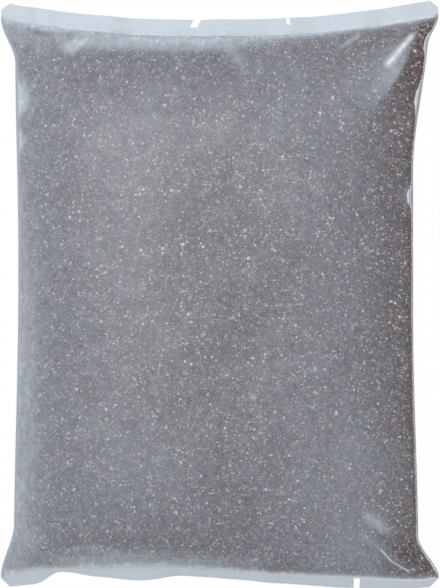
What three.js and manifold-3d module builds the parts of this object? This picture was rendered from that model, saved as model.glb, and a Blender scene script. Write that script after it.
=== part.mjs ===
// A clear film bag of fine gravel, lying flat on the ground. The bag is a lay-flat
// tube of film, folded at its two sides and welded shut across its head and its foot.
// The gravel fills it as one loose mass.
//
// Millimetres, +Z up. X runs across the bag, from fold to fold, and Y runs along it,
// from the foot to the head. The origin is on the ground under the bag's middle.

import * as THREE from 'three';
import { mergeVertices } from 'three/addons/utils/BufferGeometryUtils.js';
import Module from 'manifold-3d';

// Film tube
const flatWidth = 263.5;
const bagLength = 343.5;
const filmWall = 0.15;

// Welded bands across the ends
const headBand = 10;
const footBand = 6.5;
const bandCorner = 5;
const headSag = 11.7;
const headSagPower = 2.3;
const headTilt = 0.9;
const headDroop = 1.5;
const footDroop = 6;

// Edge of the foot band, as how far it stands beyond the foot line at shares of the
// half width: a flared left corner, a nick where the band is kinked, shallow waves,
// and a bulge at the right
const footEdge = [
  [-1, 4.8], [-0.91, 3.6], [-0.83, 2.4], [-0.745, -3.9], [-0.55, -1.2], [-0.36, 0.6],
  [-0.18, -1.8], [0.09, 0.6], [0.46, 4.2], [0.71, 6.2], [1, 4.8],
];

// Foot weld, as how far it lies inwards of its level line at shares of the half width.
// It runs straighter than the cut edge and slopes down to the right
const footWeld = [
  [-1, -4.6], [-0.87, -0.4], [-0.75, 0], [-0.62, 0.9], [-0.45, 1.4], [-0.33, 2], [-0.2, 1.2],
  [0, -0.1], [0.25, -2.6], [0.5, -4.2], [0.75, -5.7], [0.93, -6.3], [1, -4.8],
];

// Side folds: how far each is drawn in at the waist, how much of that lies in the ear
// beside each weld, and the lengths over which the ear and the shoulder are drawn in
const leftSide = {
  waist: 11, head: { ear: 8.6, earRun: 26, shoulderRun: 135 }, foot: { ear: 8, earRun: 31, shoulderRun: 165 },
};
const rightSide = {
  waist: 15.9, head: { ear: 5.7, earRun: 17, shoulderRun: 90 }, foot: { ear: 12.3, earRun: 24, shoulderRun: 150 },
};
const foldFin = 2.4;

// Filled body
const bodyHeight = 55;
const foldHeight = 22;
const weldHeight = 15;
const underFullness = 1.6;
const acrossPower = 2.7;
const acrossRoundness = 0.5;
const alongPower = 5;
const alongRoundness = 0.62;

// Unevenness of the film: slow swells on top, gathers beside the welds, and waves
// that run through the bands
const swellHeight = 0.7;
const swellLength = 96;
const gatherHeight = 1.2;
const gatherSpacing = 37;
const gatherReach = 26;
const gatherTurn = { head: 0.7, foot: 2.9 };
const bandWaveHeight = 1.3;
const bandWaveLength = 88;

// Folds that run from the ears into the body: where each starts and ends, in
// millimetres in from the band's corner, how high it stands and how broad it is
const earFolds = [
  { side: 1, end: 1, start: [9, 15], stop: [37, 50], rise: 3, breadth: 8 },
  { side: -1, end: 1, start: [8, 14], stop: [34, 36], rise: 1.8, breadth: 8 },
  { side: 1, end: -1, start: [10, 10], stop: [42, 34], rise: 2, breadth: 8 },
  { side: -1, end: -1, start: [8, 10], stop: [30, 38], rise: 2, breadth: 8 },
];

// Notches in the bands: middle across the bag, width, depth in from the band's edge,
// and how far the bottom of a slanted notch lies to the side of its mouth
const slantedNotch = { x: -13.5, width: 4.4, depth: 4.6, slant: -2.4 };
const narrowNotch = { x: 41, width: 2, depth: 4.2, slant: 0.4 };
const ventNotch = { x: 82.4, width: 3.6 };
const ventReach = 1;

// Inside: the bead where the two sheets fuse at a weld, the crease where they meet at a
// fold, and how far the gravel stays from the film, the vent and the crease
const weldBead = 1.2;
const foldCrease = 0.5;
const fillClearance = 0.3;
const fillFromVent = 1.8;
const fillFromCrease = 1.4;
const pocketDepth = 2;
const pocketReach = 11;
const pocketSpacing = 41;

// Heaps and dips of the gravel under the film, which winds between them
const heapHeight = 1;
const heapSpacing = { across: 19, along: 25 };
const heapDrift = 0.35;
const heapDriftSpacing = { across: 53, along: 61 };

// Fineness of the surface
const columns = 28;
const bodyRows = 26;
const bandRows = 2;
const crowding = 0.75;

const halfFlat = flatWidth / 2;
const headLine = bagLength / 2;
const footLine = -bagLength / 2;

const clamp = THREE.MathUtils.clamp;
const lerp = THREE.MathUtils.lerp;
const smooth = (share) => THREE.MathUtils.smoothstep(share, 0, 1);

// Smooth curve through hand-chosen points [x, y], by cubic pieces.
function curveThrough(points) {
  const slopes = points.map((point, k) => {
    const before = points[Math.max(k - 1, 0)];
    const after = points[Math.min(k + 1, points.length - 1)];
    return (after[1] - before[1]) / (after[0] - before[0]);
  });
  return (x) => {
    const next = points.findIndex((point) => point[0] > x);
    const k = next < 0 ? points.length - 2 : Math.max(next - 1, 0);
    const [x0, y0] = points[k];
    const [x1, y1] = points[k + 1];
    const span = x1 - x0;
    const q = (x - x0) / span;
    const cubic = 2 * q ** 3 - 3 * q ** 2;
    return y0 * (1 + cubic) - y1 * cubic
      + span * (slopes[k] * (q ** 3 - 2 * q ** 2 + q) + slopes[k + 1] * (q ** 3 - q ** 2));
  };
}

const footCurve = curveThrough(footEdge);
const footWeldCurve = curveThrough(footWeld);

// Cut edges of the bands, with their corners taken off.
function cornerCut(u) {
  return Math.max(0, bandCorner - (1 - Math.abs(u)) * halfFlat);
}

function headEdgeY(u) {
  return headLine + headTilt * u - headSag * (1 - Math.abs(u) ** headSagPower) + headSag / 2;
}

function footEdgeY(u) {
  return footLine - footCurve(u);
}

const headWeldY = (u) => headEdgeY(u) - headBand;
const footWeldY = (u) => footLine + footBand + footWeldCurve(u);
const weldToWeld = headWeldY(0) - footWeldY(0);

// Width of a band from its weld to its cut edge.
function bandWidth(u, end) {
  return end > 0 ? headEdgeY(u) - headWeldY(u) : footWeldY(u) - footEdgeY(u);
}

// Distance by which a side fold is drawn in, at distances from the two welds.
function drawnIn(side, fromFoot, fromHead) {
  const corner = (end, distance) => end.ear * smooth(distance / end.earRun)
    + (side.waist - end.ear) * smooth(distance / end.shoulderRun);
  return Math.min(corner(side.head, fromHead), corner(side.foot, fromFoot));
}

// Place across the bag of a share u of the half width, from -1 at the left fold to 1 at
// the right one, at a share w of the way from the foot weld to the head weld.
function acrossX(u, w, inset) {
  const fromFoot = w * weldToWeld;
  const fromHead = weldToWeld - fromFoot;
  const left = -halfFlat + drawnIn(leftSide, fromFoot, fromHead) + inset;
  const right = halfFlat - drawnIn(rightSide, fromFoot, fromHead) - inset;
  return lerp(left, right, (u + 1) / 2);
}

// How full the body is, from 0 along its rim to 1 in its middle.
function fullness(u, w) {
  const across = (1 - Math.abs(u) ** acrossPower) ** acrossRoundness;
  const along = (1 - Math.abs(2 * w - 1) ** alongPower) ** alongRoundness;
  return across * along;
}

// Height of a fold from an ear, at a place on the top of the bag.
function earFoldRise(x, y) {
  return earFolds.reduce((sum, fold) => {
    const cornerX = fold.side * halfFlat;
    const cornerY = fold.end > 0 ? headEdgeY(fold.side) : footEdgeY(fold.side);
    const place = (inward) => new THREE.Vector2(cornerX - fold.side * inward[0], cornerY - fold.end * inward[1]);
    const start = place(fold.start);
    const run = place(fold.stop).sub(start);
    const from = new THREE.Vector2(x, y).sub(start);
    const along = from.dot(run) / run.lengthSq();
    const away = from.sub(run.clone().multiplyScalar(clamp(along, 0, 1))).length();
    const fade = Math.sin(Math.PI * clamp(along, 0.15, 0.85)) ** 2;
    return sum + fold.rise * fade * Math.exp(-((away / fold.breadth) ** 2));
  }, 0);
}

// Height of the layer in which the two sheets would meet: the level of the folds and
// the welds, with its gathers and waves.
function middleHeight(x, w, fromWeld) {
  const nearWeld = (2 * w - 1) ** 4;
  const turn = w > 0.5 ? gatherTurn.head : gatherTurn.foot;
  const gather = gatherHeight * Math.sin(2 * Math.PI * x / gatherSpacing + turn)
    + 0.5 * gatherHeight * Math.sin(3.4 * Math.PI * x / gatherSpacing + 2 * turn);
  const wave = bandWaveHeight * Math.sin(2 * Math.PI * x / bandWaveLength + 1.7 * turn);
  return lerp(foldHeight, weldHeight, nearWeld) + (gather + wave) * Math.exp(-fromWeld / gatherReach);
}

// Height of the top of the filled body above the middle layer, and of its underside
// below it.
function topHeight(x, y, u, w) {
  const full = fullness(u, w);
  const swell = swellHeight * Math.sin(2 * Math.PI * x / swellLength + 0.6)
    * Math.sin(2 * Math.PI * y / swellLength + 1.1);
  return full * (bodyHeight - foldHeight + swell) + earFoldRise(x, y) * Math.min(1, 3 * full);
}

function underHeight(middle, u, w) {
  return middle * Math.min(underFullness * fullness(u, w), 1);
}

// Shares from -1 to 1 that crowd towards both ends, with a first and a second step of
// their own at each end.
function crowded(count, firstStep, secondStep) {
  const reach = 1 - firstStep - secondStep;
  const shares = Array.from({ length: count + 1 }, (unused, k) => {
    const even = 2 * k / count - 1;
    return reach * lerp(even, -Math.cos(Math.PI * k / count), crowding);
  });
  return [-1, firstStep - 1, ...shares, 1 - firstStep, 1];
}

// Closed mesh from two sheets over grids of the same size, joined along their rims.
function closedSheets(grid) {
  const rows = grid.length;
  const width = grid[0].length;
  const positions = ['top', 'under'].flatMap((level) => grid.flat().flatMap((place) => place[level].toArray()));
  const at = (row, column, level) => level * rows * width + row * width + column;
  const triangles = [];
  const quad = (a, b, c, d) => triangles.push(a, b, c, a, c, d);
  for (let r = 0; r + 1 < rows; r += 1) {
    for (let c = 0; c + 1 < width; c += 1) {
      quad(at(r, c, 0), at(r, c + 1, 0), at(r + 1, c + 1, 0), at(r + 1, c, 0));
      quad(at(r, c, 1), at(r + 1, c, 1), at(r + 1, c + 1, 1), at(r, c + 1, 1));
    }
  }
  for (let r = 0; r + 1 < rows; r += 1) {
    quad(at(r, 0, 0), at(r + 1, 0, 0), at(r + 1, 0, 1), at(r, 0, 1));
    quad(at(r + 1, width - 1, 0), at(r, width - 1, 0), at(r, width - 1, 1), at(r + 1, width - 1, 1));
  }
  for (let c = 0; c + 1 < width; c += 1) {
    quad(at(0, c + 1, 0), at(0, c, 0), at(0, c, 1), at(0, c + 1, 1));
    quad(at(rows - 1, c, 0), at(rows - 1, c + 1, 0), at(rows - 1, c + 1, 1), at(rows - 1, c, 1));
  }
  const geometry = new THREE.BufferGeometry();
  geometry.setAttribute('position', new THREE.Float32BufferAttribute(positions, 3));
  geometry.setIndex(triangles);
  return geometry;
}

// One place on both sheets, with its distances from the nearest weld and fold.
function placeOf(x, y, middle, above, below, fromWeld, fromFold) {
  return {
    top: new THREE.Vector3(x, y, middle + Math.max(filmWall, above)),
    under: new THREE.Vector3(x, y, middle - Math.max(filmWall, below)),
    fromWeld,
    fromFold,
  };
}

function bodyPlace(u, w, onFold) {
  const y = lerp(footWeldY(u), headWeldY(u), w);
  const x = acrossX(u, w, onFold ? 0 : foldFin);
  const fromWeld = Math.min(y - footWeldY(u), headWeldY(u) - y);
  const fromFold = Math.min(x - acrossX(-1, w, 0), acrossX(1, w, 0) - x);
  const middle = middleHeight(x, w, fromWeld);
  const above = onFold ? 0 : topHeight(x, y, u, w);
  const below = onFold ? 0 : underHeight(middle, u, w);
  return placeOf(x, y, middle, above, below, fromWeld, fromFold);
}

function bandPlace(u, end, share, onFold) {
  const weld = bodyPlace(u, end > 0 ? 1 : 0, onFold);
  const depth = bandWidth(u, end) - cornerCut(weld.top.x / halfFlat);
  const droop = (end > 0 ? headDroop : footDroop) * share;
  const middle = (weld.top.z + weld.under.z) / 2 - droop;
  return placeOf(weld.top.x, weld.top.y + end * depth * share, middle, 0, 0, 0, weld.fromFold);
}

// Outer surface of the bag: the body, the fins along its folds and the bands.
function outerGrid() {
  const across = crowded(columns, foldCrease / halfFlat, fillFromCrease / halfFlat);
  const along = crowded(bodyRows, 2 * weldBead / weldToWeld, 2 * (ventReach + fillFromVent) / weldToWeld);
  const finned = [-1, ...across, 1];
  const row = (placeAt) => finned.map((u, column) => placeAt(u, column === 0 || column === finned.length - 1));
  const steps = Array.from({ length: bandRows }, (unused, k) => (k + 1) / bandRows);
  return [
    ...steps.toReversed().map((share) => row((u, onFold) => bandPlace(u, -1, share, onFold))),
    ...along.map((t) => row((u, onFold) => bodyPlace(u, (t + 1) / 2, onFold))),
    ...steps.map((share) => row((u, onFold) => bandPlace(u, 1, share, onFold))),
  ];
}

// Surface inside the outer one, at a depth below it that may differ from place to
// place. It leaves out the bands and the fins, and some steps beside the rim.
function innerGrid(grid, stepsIn, depthAt) {
  const firstRow = bandRows + stepsIn;
  const firstColumn = 1 + stepsIn;
  const inward = (r, c, level) => {
    const east = grid[r][c + 1][level].clone().sub(grid[r][c - 1][level]);
    const north = grid[r + 1][c][level].clone().sub(grid[r - 1][c][level]);
    const out = east.cross(north).normalize().multiplyScalar(level === 'top' ? -1 : 1);
    return grid[r][c][level].clone().addScaledVector(out, depthAt(grid[r][c]));
  };
  return grid.slice(firstRow, -firstRow).map((row, k) => row.slice(firstColumn, -firstColumn)
    .map((unused, n) => ({
      top: inward(firstRow + k, firstColumn + n, 'top'),
      under: inward(firstRow + k, firstColumn + n, 'under'),
    })));
}

const wasm = await Module();
wasm.setup();

function solidOf(geometry) {
  const bare = geometry.clone();
  bare.deleteAttribute('normal');
  bare.deleteAttribute('uv');
  const merged = mergeVertices(bare);
  return new wasm.Manifold(new wasm.Mesh({
    numProp: 3,
    vertProperties: new Float32Array(merged.attributes.position.array),
    triVerts: new Uint32Array(merged.index.array),
  }));
}

function geometryOf(solid) {
  const mesh = solid.getMesh();
  const geometry = new THREE.BufferGeometry();
  geometry.setAttribute('position', new THREE.BufferAttribute(mesh.vertProperties, 3));
  geometry.setIndex(new THREE.BufferAttribute(mesh.triVerts, 1));
  geometry.computeVertexNormals();
  return geometry;
}

// Straight-sided cutter through a band, from outside its cut edge to a depth inside it.
function notchCutter(notch, end, depth) {
  const edge = end > 0 ? headEdgeY(notch.x / halfFlat) : footEdgeY(notch.x / halfFlat);
  const outside = edge + end * depth;
  const bottom = edge - end * depth;
  const slant = notch.slant ?? 0;
  const outline = new THREE.Shape([
    new THREE.Vector2(notch.x - notch.width / 2 - slant, outside),
    new THREE.Vector2(notch.x + notch.width / 2 - slant, outside),
    new THREE.Vector2(notch.x + notch.width / 2 + slant, bottom),
    new THREE.Vector2(notch.x - notch.width / 2 + slant, bottom),
  ]);
  const cutter = new THREE.ExtrudeGeometry(outline, { depth: 2 * bodyHeight, bevelEnabled: false });
  return cutter.translate(0, 0, -bodyHeight / 2);
}

function filmBag(grid) {
  const outside = solidOf(closedSheets(grid));
  const inside = solidOf(closedSheets(innerGrid(grid, 1, () => filmWall)));
  const notched = outside
    .subtract(inside)
    .subtract(solidOf(notchCutter(slantedNotch, 1, slantedNotch.depth)))
    .subtract(solidOf(notchCutter(narrowNotch, 1, narrowNotch.depth)))
    .subtract(solidOf(notchCutter(ventNotch, -1, bandWidth(ventNotch.x / halfFlat, -1) + weldBead + ventReach)));
  return geometryOf(notched);
}

// Depth of the dips between the gravel's heaps, at places in the plan.
function dipDepth(x, y) {
  const turn = (along) => Math.sin(2 * Math.PI * along);
  const across = turn(x / heapSpacing.across + heapDrift * turn(y / heapDriftSpacing.along));
  const along = turn(y / heapSpacing.along + heapDrift * turn(x / heapDriftSpacing.across));
  return heapHeight * (0.5 + 0.5 * across * along);
}

// The gravel lies against the film with its heaps. Between them, and more so in pockets
// of bare film beside the welds and the folds, it sinks further in.
function gravelFill(grid) {
  const wave = (along) => (0.5 + 0.5 * Math.sin(2 * Math.PI * along / pocketSpacing)) ** 2;
  const depthAt = (place) => {
    const besideWeld = wave(place.top.x) * Math.exp(-((place.fromWeld / pocketReach) ** 2));
    const besideFold = wave(place.top.y) * Math.exp(-((place.fromFold / pocketReach) ** 2));
    const pocket = pocketDepth * Math.max(besideWeld, besideFold);
    return filmWall + fillClearance + pocket + dipDepth(place.top.x, place.top.y);
  };
  return closedSheets(innerGrid(grid, 2, depthAt));
}

const film = new THREE.MeshStandardMaterial({
  color: 0xd3dbe4, roughness: 0.28, metalness: 0, transparent: true, opacity: 0.4,
});
const gravel = new THREE.MeshStandardMaterial({ color: 0x6f6a68, roughness: 0.9, metalness: 0 });

const surface = outerGrid();
const filmGeometry = filmBag(surface);
filmGeometry.computeBoundingBox();
const middle = filmGeometry.boundingBox.getCenter(new THREE.Vector3());

const bag = new THREE.Group();
for (const [name, geometry, material] of [
  ['film_bag', filmGeometry, film],
  ['gravel_fill', gravelFill(surface), gravel],
]) {
  const mesh = new THREE.Mesh(geometry, material);
  mesh.name = name;
  bag.add(mesh);
}
bag.position.set(-middle.x, -middle.y, 0);

export default bag;
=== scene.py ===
"""A clear film bag of fine aquarium gravel, lying flat and seen from straight above.

The bag is a lay-flat tube of film, folded at its sides and welded across its head and
its foot. Its gravel is modelled grain by grain under the film, over a dark core.
"""

import logging
import math
from dataclasses import dataclass, field
from enum import Enum
from typing import Any, Sequence

import bpy
import numpy as np
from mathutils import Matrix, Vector


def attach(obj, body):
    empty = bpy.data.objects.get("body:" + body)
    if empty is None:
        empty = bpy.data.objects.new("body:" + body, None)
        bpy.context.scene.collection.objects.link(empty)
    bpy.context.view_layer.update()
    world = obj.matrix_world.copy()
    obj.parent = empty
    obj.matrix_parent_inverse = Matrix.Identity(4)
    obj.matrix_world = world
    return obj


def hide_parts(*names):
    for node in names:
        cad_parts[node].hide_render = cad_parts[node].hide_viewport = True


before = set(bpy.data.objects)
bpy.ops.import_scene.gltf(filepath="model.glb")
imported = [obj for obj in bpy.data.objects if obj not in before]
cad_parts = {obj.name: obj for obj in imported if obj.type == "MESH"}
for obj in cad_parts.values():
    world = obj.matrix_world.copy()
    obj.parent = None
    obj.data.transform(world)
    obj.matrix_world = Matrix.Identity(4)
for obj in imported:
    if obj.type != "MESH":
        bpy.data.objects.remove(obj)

LOG = logging.getLogger("gravel_bag")
SEED = 20261


class Level(Enum):
    """The two sheets of the lay-flat tube."""

    TOP = 1.0
    UNDER = -1.0


@dataclass(frozen=True)
class Corner:
    """How one side fold is drawn in beside one weld."""

    ear: float
    ear_run: float
    shoulder_run: float

    def drawn_in(self, distance: np.ndarray, waist: float) -> np.ndarray:
        """Distance by which the fold is drawn in, at distances from the weld."""
        ear = self.ear * smooth(distance / self.ear_run)
        return ear + (waist - self.ear) * smooth(distance / self.shoulder_run)


@dataclass(frozen=True)
class SideFold:
    """One side fold of the tube, from the foot weld to the head weld."""

    waist: float
    head: Corner
    foot: Corner


@dataclass(frozen=True)
class EarFold:
    """A broad fold that runs from an ear into the body."""

    side: int
    end: int
    start: tuple[float, float]
    stop: tuple[float, float]
    rise: float
    breadth: float


@dataclass(frozen=True)
class Crease:
    """A narrow crease in the top sheet, along a given path in the bag's plan.

    Its breadth on the right of the path, seen from its start, may differ from the left.
    """

    path: tuple[tuple[float, float], ...]
    rise: float
    breadth: float
    haze: float
    # Strength of a highlight painted along the crease, from 0 to 1.
    gleam: float = 0.0
    right_breadth: float = 0.0

    def nearness(self, x: np.ndarray, y: np.ndarray) -> np.ndarray:
        """How near places lie to the crease, from 0 to 1, fading towards its ends.

        Args:
            x: Places across the bag.
            y: Places along the bag.

        Returns:
            The nearness at each place.
        """
        path = np.array(self.path)
        lengths = np.linalg.norm(np.diff(path, axis=0), axis=1)
        reach = np.concatenate([[0.0], np.cumsum(lengths)]) / lengths.sum()
        best = np.full(x.shape, np.inf)
        share = np.zeros_like(x)
        on_right = np.zeros(x.shape, dtype=bool)
        for k, (start, stop) in enumerate(zip(path[:-1], path[1:])):
            run = stop - start
            along = ((x - start[0]) * run[0] + (y - start[1]) * run[1]) / (run @ run)
            along = np.clip(along, 0, 1)
            away = np.hypot(x - start[0] - along * run[0], y - start[1] - along * run[1])
            closer = away < best
            best = np.where(closer, away, best)
            share = np.where(closer, reach[k] + along * (reach[k + 1] - reach[k]), share)
            on_right = np.where(closer, (y - start[1]) * run[0] < (x - start[0]) * run[1], on_right)
        breadth = np.where(on_right, self.right_breadth or self.breadth, self.breadth)
        return fading(best, breadth) * np.sin(np.pi * (0.12 + 0.76 * share))


@dataclass(frozen=True)
class HighlightStroke:
    """A painted highlight: a fine pale line in the top sheet, drawn by the film's finish along a path."""

    path: tuple[tuple[float, float], ...]
    breadth: float
    strength: float


@dataclass(frozen=True)
class Patch:
    """A hazier or clearer patch of the top sheet, some with a painted highlight: its middle, half sizes and
    turn in degrees.
    """

    x: float
    y: float
    length: float
    breadth: float
    turn: float
    haze: float
    # Strength of a highlight painted over the patch, from 0 to 1.
    gleam: float = 0.0

    def nearness(self, x: np.ndarray, y: np.ndarray) -> np.ndarray:
        """How near places lie to the patch, from 0 to 1, with a flat middle.

        Args:
            x: Places across the bag.
            y: Places along the bag.

        Returns:
            The nearness at each place.
        """
        turn = math.radians(self.turn)
        east, north = x - self.x, y - self.y
        along = (east * math.cos(turn) + north * math.sin(turn)) / self.length
        aside = (north * math.cos(turn) - east * math.sin(turn)) / self.breadth
        return np.exp(-((along ** 2 + aside ** 2) ** 1.5))


def smooth(share: np.ndarray) -> np.ndarray:
    """Smooth step from 0 to 1 of a share."""
    inside = np.clip(share, 0.0, 1.0)
    return inside * inside * (3.0 - 2.0 * inside)


def fading(distance: np.ndarray, reach: np.ndarray | float) -> np.ndarray:
    """Fades from 1 at no distance to almost 0 beyond twice the reach."""
    return np.exp(-((distance / reach) ** 2))


def profile(points: Sequence[tuple[float, float]], x: np.ndarray) -> np.ndarray:
    """Straight pieces through points of a place across and a value, read at places across."""
    return np.interp(x, *np.array(points).T)


def crowded(count: int, crowding: float) -> np.ndarray:
    """Shares from -1 to 1 that crowd towards both ends.

    Args:
        count: Number of steps.
        crowding: 0 for even steps, 1 for the steps of a half circle.

    Returns:
        The shares, one more than the steps.
    """
    even = np.linspace(-1.0, 1.0, count + 1)
    round_steps = -np.cos(np.pi * np.arange(count + 1) / count)
    return even + crowding * (round_steps - even)


def curve_through(points: Sequence[tuple[float, float]], u: np.ndarray) -> np.ndarray:
    """Smooth curve through given points, by cubic pieces.

    Args:
        points: The points, as a place and a height each.
        u: The places at which the curve is wanted.

    Returns:
        The curve's heights.
    """
    place, height = np.array(points).T
    last = len(place) - 1
    before = np.maximum(np.arange(last + 1) - 1, 0)
    after = np.minimum(np.arange(last + 1) + 1, last)
    slopes = (height[after] - height[before]) / (place[after] - place[before])
    k = np.clip(np.searchsorted(place, u, side="right") - 1, 0, last - 1)
    span = place[k + 1] - place[k]
    q = (u - place[k]) / span
    cubic = 2 * q ** 3 - 3 * q ** 2
    bend = slopes[k] * (q ** 3 - 2 * q ** 2 + q) + slopes[k + 1] * (q ** 3 - q ** 2)
    return height[k] * (1 + cubic) - height[k + 1] * cubic + span * bend


class SmoothNoise:
    """Smooth random heights over a plane, the same on each run."""

    def __init__(self, seed: int, size: int = 256) -> None:
        """Fills the lattice of random heights.

        Args:
            seed: Seed of the random draw.
            size: Number of lattice points along each side.
        """
        self.size = size
        self.lattice = np.random.default_rng(seed).uniform(-1.0, 1.0, (size, size))

    def at(self, x: np.ndarray, y: np.ndarray, step: float) -> np.ndarray:
        """Heights from -1 to 1 at places, with lattice points a step apart.

        Args:
            x: Places across the bag.
            y: Places along the bag.
            step: Distance between lattice points.

        Returns:
            The heights.
        """
        gx, gy = x / step, y / step
        column, row = np.floor(gx).astype(int), np.floor(gy).astype(int)
        sx, sy = smooth(gx - column), smooth(gy - row)
        c0, c1 = column % self.size, (column + 1) % self.size
        r0, r1 = row % self.size, (row + 1) % self.size
        low = self.lattice[r0, c0] * (1 - sx) + self.lattice[r0, c1] * sx
        high = self.lattice[r1, c0] * (1 - sx) + self.lattice[r1, c1] * sx
        return low * (1 - sy) + high * sy


@dataclass(frozen=True)
class BagShape:
    """The form of the filled bag, from the same sizes as its solids, in metres."""

    flat_width: float = 0.2635
    bag_length: float = 0.3435
    film_wall: float = 0.00015
    head_band: float = 0.010
    foot_band: float = 0.0065
    band_corner: float = 0.005
    head_sag: float = 0.0117
    head_sag_power: float = 2.3
    head_tilt: float = 0.0009
    head_droop: float = 0.0015
    foot_droop: float = 0.006
    fold_fin: float = 0.0004
    body_height: float = 0.055
    fold_height: float = 0.022
    weld_height: float = 0.015
    under_fullness: float = 1.6
    across_power: float = 2.7
    across_roundness: float = 0.5
    along_power: float = 5.0
    along_roundness: float = 0.62
    swell_height: float = 0.0007
    swell_length: float = 0.096
    gather_height: float = 0.0012
    gather_spacing: float = 0.037
    gather_reach: float = 0.026
    gather_turn_head: float = 0.7
    gather_turn_foot: float = 2.9
    band_wave_height: float = 0.0013
    band_wave_length: float = 0.088
    foot_edge_points: tuple[tuple[float, float], ...] = (
        (-1, 0.0048), (-0.91, 0.0036), (-0.83, 0.0024), (-0.745, -0.0039), (-0.55, -0.0012), (-0.36, 0.0006),
        (-0.18, -0.0018), (0.09, 0.0006), (0.46, 0.0042), (0.71, 0.0062), (1, 0.0048),
    )
    foot_weld_points: tuple[tuple[float, float], ...] = (
        (-1, -0.0046), (-0.87, -0.0004), (-0.75, 0.0), (-0.62, 0.0009), (-0.45, 0.0014), (-0.33, 0.002),
        (-0.2, 0.0012), (0, -0.0001), (0.25, -0.0026), (0.5, -0.0042), (0.75, -0.0057), (0.93, -0.0063),
        (1, -0.0048),
    )
    left: SideFold = SideFold(0.011, Corner(0.0086, 0.026, 0.135), Corner(0.008, 0.031, 0.165))
    right: SideFold = SideFold(0.0159, Corner(0.0057, 0.017, 0.090), Corner(0.0123, 0.024, 0.150))
    ear_folds: tuple[EarFold, ...] = (
        EarFold(1, 1, (0.009, 0.015), (0.037, 0.050), 0.003, 0.008),
        EarFold(-1, 1, (0.008, 0.014), (0.034, 0.036), 0.0018, 0.008),
        EarFold(1, -1, (0.010, 0.010), (0.042, 0.034), 0.002, 0.008),
        EarFold(-1, -1, (0.008, 0.010), (0.030, 0.038), 0.002, 0.008),
    )

    @property
    def half_flat(self) -> float:
        """Half the lay-flat width."""
        return self.flat_width / 2

    def head_edge(self, u: np.ndarray) -> np.ndarray:
        """Place along the bag of the head's cut edge, at shares of the half width."""
        sag = self.head_sag * (1 - np.abs(u) ** self.head_sag_power)
        return self.bag_length / 2 + self.head_tilt * u - sag + self.head_sag / 2

    def foot_edge(self, u: np.ndarray) -> np.ndarray:
        """Place along the bag of the foot's cut edge, at shares of the half width."""
        return -self.bag_length / 2 - curve_through(self.foot_edge_points, u)

    def head_weld(self, u: np.ndarray) -> np.ndarray:
        """Place along the bag of the head weld's inner line."""
        return self.head_edge(u) - self.head_band

    def foot_weld(self, u: np.ndarray) -> np.ndarray:
        """Place along the bag of the foot weld's inner line."""
        return -self.bag_length / 2 + self.foot_band + curve_through(self.foot_weld_points, u)

    def band_width(self, u: np.ndarray, end: int) -> np.ndarray:
        """Width of a band from its weld to its cut edge, at shares of the half width.

        Args:
            u: Shares of the half width.
            end: 1 for the head and -1 for the foot.

        Returns:
            The widths.
        """
        if end > 0:
            return self.head_edge(u) - self.head_weld(u)
        return self.foot_weld(u) - self.foot_edge(u)

    @property
    def weld_to_weld(self) -> float:
        """Length of the filled body along the bag's middle."""
        middle = np.zeros(1)
        return float((self.head_weld(middle) - self.foot_weld(middle))[0])

    def across(self, u: np.ndarray, w: np.ndarray, inset: float) -> np.ndarray:
        """Place across the bag at shares of its width and length, inside the folds by an inset.

        Args:
            u: Shares across, from -1 at the left to 1 at the right.
            w: Shares along, from 0 at the foot weld to 1 at the head weld.
            inset: Distance to keep from each fold.

        Returns:
            The places across the bag.
        """
        from_foot = w * self.weld_to_weld
        from_head = self.weld_to_weld - from_foot
        edges = []
        for side in (self.left, self.right):
            head = side.head.drawn_in(from_head, side.waist)
            edges.append(np.minimum(head, side.foot.drawn_in(from_foot, side.waist)))
        low = -self.half_flat + edges[0] + inset
        high = self.half_flat - edges[1] - inset
        return low + (high - low) * (u + 1) / 2

    def fullness(self, u: np.ndarray, w: np.ndarray) -> np.ndarray:
        """How full the body is, from 0 along its rim to 1 in its middle.

        Args:
            u: Shares across, from -1 at the left to 1 at the right.
            w: Shares along, from 0 at the foot weld to 1 at the head weld.

        Returns:
            The fullness.
        """
        across = np.clip(1 - np.abs(u) ** self.across_power, 0, 1) ** self.across_roundness
        along = np.clip(1 - np.abs(2 * w - 1) ** self.along_power, 0, 1) ** self.along_roundness
        return across * along

    def ear_fold_rise(self, x: np.ndarray, y: np.ndarray) -> np.ndarray:
        """Height of the ears' folds at places on the top sheet.

        Args:
            x: Places across the bag.
            y: Places along the bag.

        Returns:
            The heights.
        """
        total = np.zeros_like(x)
        for fold in self.ear_folds:
            corner_u = np.full(1, float(fold.side))
            edge = self.head_edge(corner_u) if fold.end > 0 else self.foot_edge(corner_u)
            corner = np.array([fold.side * self.half_flat, edge[0]])
            turn = np.array([fold.side, fold.end])
            start = corner - turn * np.array(fold.start)
            run = corner - turn * np.array(fold.stop) - start
            along = ((x - start[0]) * run[0] + (y - start[1]) * run[1]) / (run @ run)
            near = np.clip(along, 0, 1)
            away = np.hypot(x - start[0] - near * run[0], y - start[1] - near * run[1])
            fade = np.sin(np.pi * np.clip(along, 0.15, 0.85)) ** 2
            total += fold.rise * fade * fading(away, fold.breadth)
        return total

    def middle_height(self, x: np.ndarray, w: np.ndarray, from_weld: np.ndarray) -> np.ndarray:
        """Height of the layer in which the two sheets would meet.

        Args:
            x: Places across the bag.
            w: Shares along, from 0 at the foot weld to 1 at the head weld.
            from_weld: Distances from the nearer weld.

        Returns:
            The heights above the ground.
        """
        near_weld = (2 * w - 1) ** 4
        turn = np.where(w > 0.5, self.gather_turn_head, self.gather_turn_foot)
        gather = self.gather_height * np.sin(2 * np.pi * x / self.gather_spacing + turn)
        gather = gather + 0.5 * self.gather_height * np.sin(3.4 * np.pi * x / self.gather_spacing + 2 * turn)
        wave = self.band_wave_height * np.sin(2 * np.pi * x / self.band_wave_length + 1.7 * turn)
        level = self.fold_height + (self.weld_height - self.fold_height) * near_weld
        return level + (gather + wave) * np.exp(-from_weld / self.gather_reach)


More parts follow.
